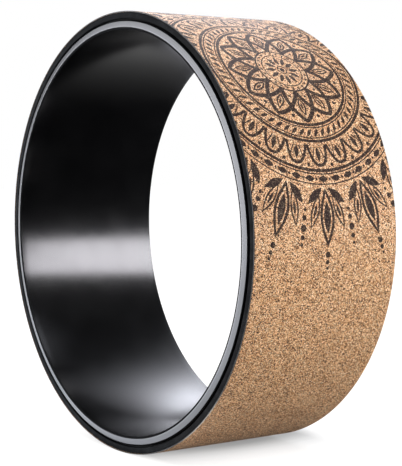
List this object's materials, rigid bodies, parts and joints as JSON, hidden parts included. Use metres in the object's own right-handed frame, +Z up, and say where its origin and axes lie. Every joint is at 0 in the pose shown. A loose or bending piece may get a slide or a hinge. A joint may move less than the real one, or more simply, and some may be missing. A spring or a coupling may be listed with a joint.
{
  "type": "yoga wheel",
  "caption": "Wide open ring for back stretches and balance: a stiff plastic hoop wrapped in a foam strip and a thin printed cork sheet.",
  "frame": {"origin": "centre of the wheel, on its axis and midway between its two rims", "axes": "+Y along the wheel's axis, +Z up with the wheel standing on its rim, +X across the wheel"},
  "size_m": [0.33, 0.1294, 0.33],
  "materials": {
    "hoop_plastic": "satin",
    "adhesive": "satin",
    "foam": "matte",
    "cork": "matte",
    "ink": "matte"
  },
  "bodies": {
    "root": {"hoop": "hoop_plastic", "hoop_adhesive": "adhesive", "foam_layer": "foam", "cork_adhesive": "adhesive", "cork_cover": "cork"}
  },
  "joints": []
}
